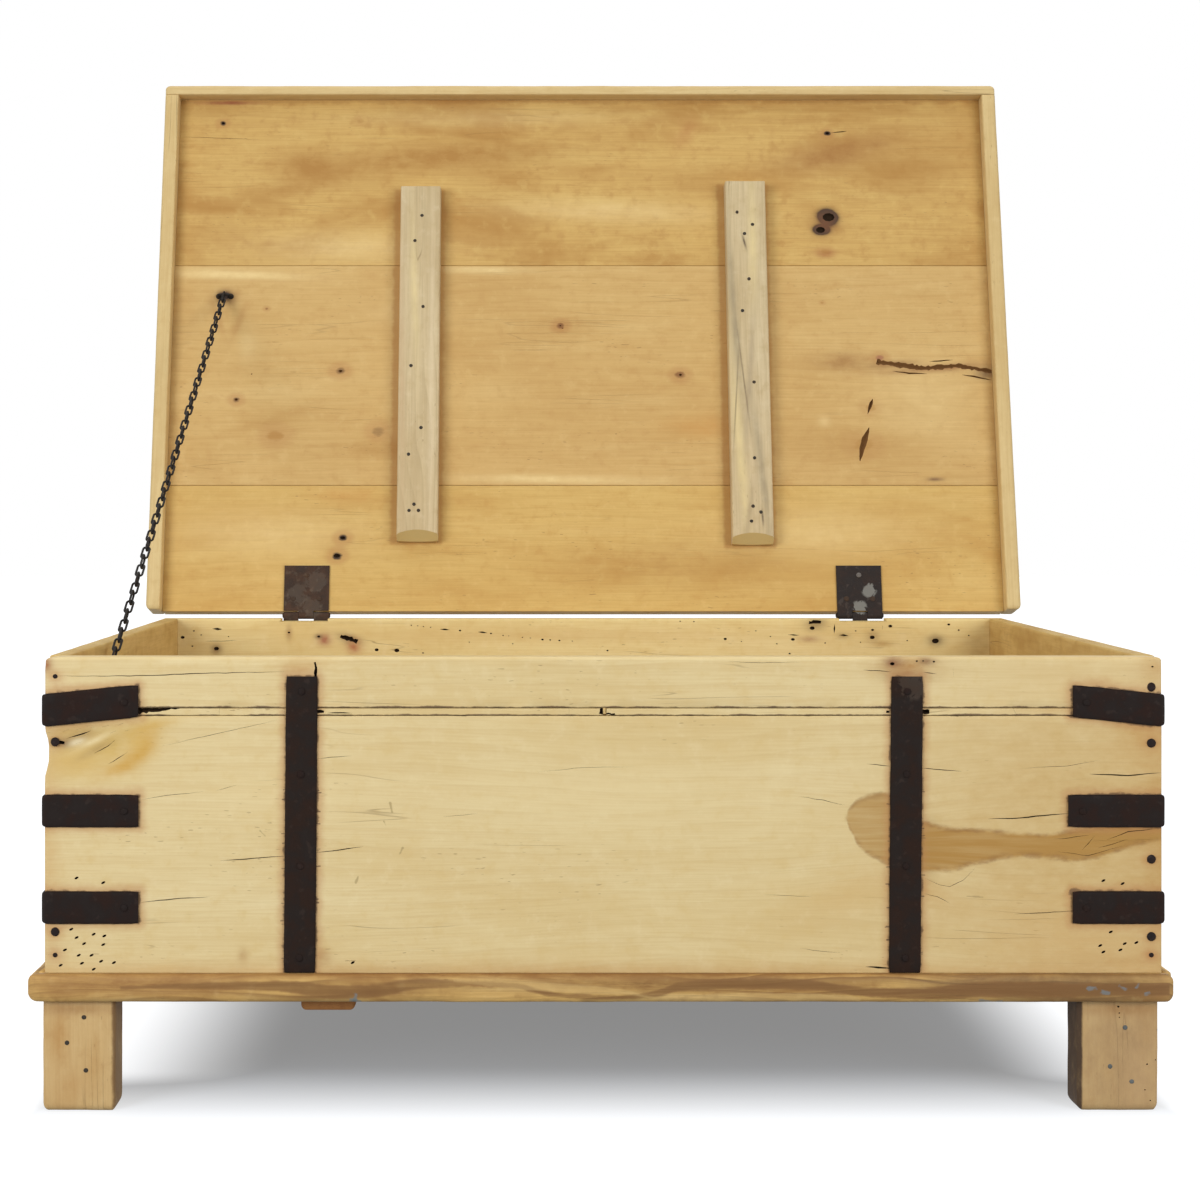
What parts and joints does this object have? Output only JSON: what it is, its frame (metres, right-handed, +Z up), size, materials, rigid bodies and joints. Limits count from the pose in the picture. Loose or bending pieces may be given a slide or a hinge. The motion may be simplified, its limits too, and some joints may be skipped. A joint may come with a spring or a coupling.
{
  "type": "chest coffee table",
  "caption": "Low chest of reclaimed pale boards on block legs, with iron straps and a hinged lid that a stay chain holds open",
  "frame": {"origin": "on the floor, at the centre in plan of the table with its lid standing open, which is how it is stored", "axes": "+X to the right and +Y to the back as seen by someone in front of the chest, +Z up"},
  "size_m": [1.0916, 0.8762, 1.1195],
  "materials": {
    "wall_wood": "pale reclaimed boards, worn and dry",
    "floor_wood": "plain boards",
    "trim_wood": "browner wood with wavy grain",
    "leg_wood": "pale blocks, worn edges",
    "lid_wood": "golden boards, lightly waxed",
    "edge_wood": "pale strips",
    "batten_wood": "pale weathered battens",
    "strap_iron": "dark waxed iron",
    "nail_iron": "forged nail heads",
    "hinge_iron": "worn sheet iron",
    "chain_iron": "blackened wire"
  },
  "bodies": {
    "chest": {"front_top_rail": "wall_wood", "front_filler_strip": "wall_wood", "front_board": "wall_wood", "rear_top_board": "wall_wood", "rear_lower_board": "wall_wood", "left_top_board": "wall_wood", "left_lower_board": "wall_wood", "right_top_board": "wall_wood", "right_lower_board": "wall_wood", "floor_board_1": "floor_wood", "floor_board_2": "floor_wood", "floor_board_3": "floor_wood", "floor_board_4": "floor_wood", "floor_batten_left": "floor_wood", "floor_batten_right": "floor_wood", "base_trim_front": "trim_wood", "base_trim_rear": "trim_wood", "base_trim_left": "trim_wood", "base_trim_right": "trim_wood", "leg_front_left": "leg_wood", "leg_front_right": "leg_wood", "leg_rear_left": "leg_wood", "leg_rear_right": "leg_wood", "corner_straps_front_left": "strap_iron", "corner_straps_front_right": "strap_iron", "corner_straps_rear_left": "strap_iron", "corner_straps_rear_right": "strap_iron", "face_strap_left": "strap_iron", "face_strap_right": "strap_iron", "strap_nails": "nail_iron", "wall_nails": "nail_iron", "leg_nails": "nail_iron", "hinge_wall_leaf_left": "hinge_iron", "hinge_wall_leaf_right": "hinge_iron", "hinge_pin_left": "hinge_iron", "hinge_pin_right": "hinge_iron", "hinge_wall_screws": "hinge_iron", "chain_wall_staple": "chain_iron"},
    "lid": {"lid_board_rear": "lid_wood", "lid_board_middle": "lid_wood", "lid_board_front": "lid_wood", "lid_edge_front": "edge_wood", "lid_edge_left": "edge_wood", "lid_edge_right": "edge_wood", "lid_batten_left": "batten_wood", "lid_batten_right": "batten_wood", "lid_batten_nails": "nail_iron", "hinge_lid_leaf_left": "hinge_iron", "hinge_lid_leaf_right": "hinge_iron", "hinge_lid_screws": "hinge_iron", "chain_lid_staple": "chain_iron"},
    "wall_chain": {"chain_wall_run": "chain_iron"},
    "wall_chain_fold": {"chain_wall_fold": "chain_iron"},
    "lid_chain": {"chain_lid_run": "chain_iron"},
    "lid_chain_fold": {"chain_lid_fold": "chain_iron"}
  },
  "joints": [
    {"name": "lid_hinge", "type": "hinge", "parent": "chest", "child": "lid", "pos_m": [0, 0.2618, 0.4288], "axis": [1, 0, 0], "range_deg": [0, 102.75]},
    {"name": "chain_wall_swing", "type": "hinge", "parent": "chest", "child": "wall_chain", "pos_m": [-0.4935, -0.2791, 0.3938], "axis": [1, 0, 0], "range_deg": [-126.5, 0]},
    {"name": "chain_wall_bend", "type": "hinge", "parent": "wall_chain", "child": "wall_chain_fold", "pos_m": [-0.48248, -0.0646, 0.54716], "axis": [1, 0, 0], "range_deg": [0, 91]},
    {"name": "chain_lid_swing", "type": "hinge", "parent": "lid", "child": "lid_chain", "pos_m": [-0.4615, 0.3439, 0.83922], "axis": [1, 0, 0], "range_deg": [-49.5, 0]},
    {"name": "chain_lid_bend", "type": "hinge", "parent": "lid_chain", "child": "lid_chain_fold", "pos_m": [-0.47252, 0.1294, 0.68586], "axis": [1, 0, 0], "range_deg": [0, 79]}
  ],
  "couplings": [
    {"joint": "chain_wall_swing", "follows": "lid_hinge", "ratio": -1.222},
    {"joint": "chain_wall_bend", "follows": "lid_hinge", "ratio": 0.87591},
    {"joint": "chain_lid_swing", "follows": "lid_hinge", "ratio": -0.4702},
    {"joint": "chain_lid_bend", "follows": "lid_hinge", "ratio": 0.75648}
  ]
}
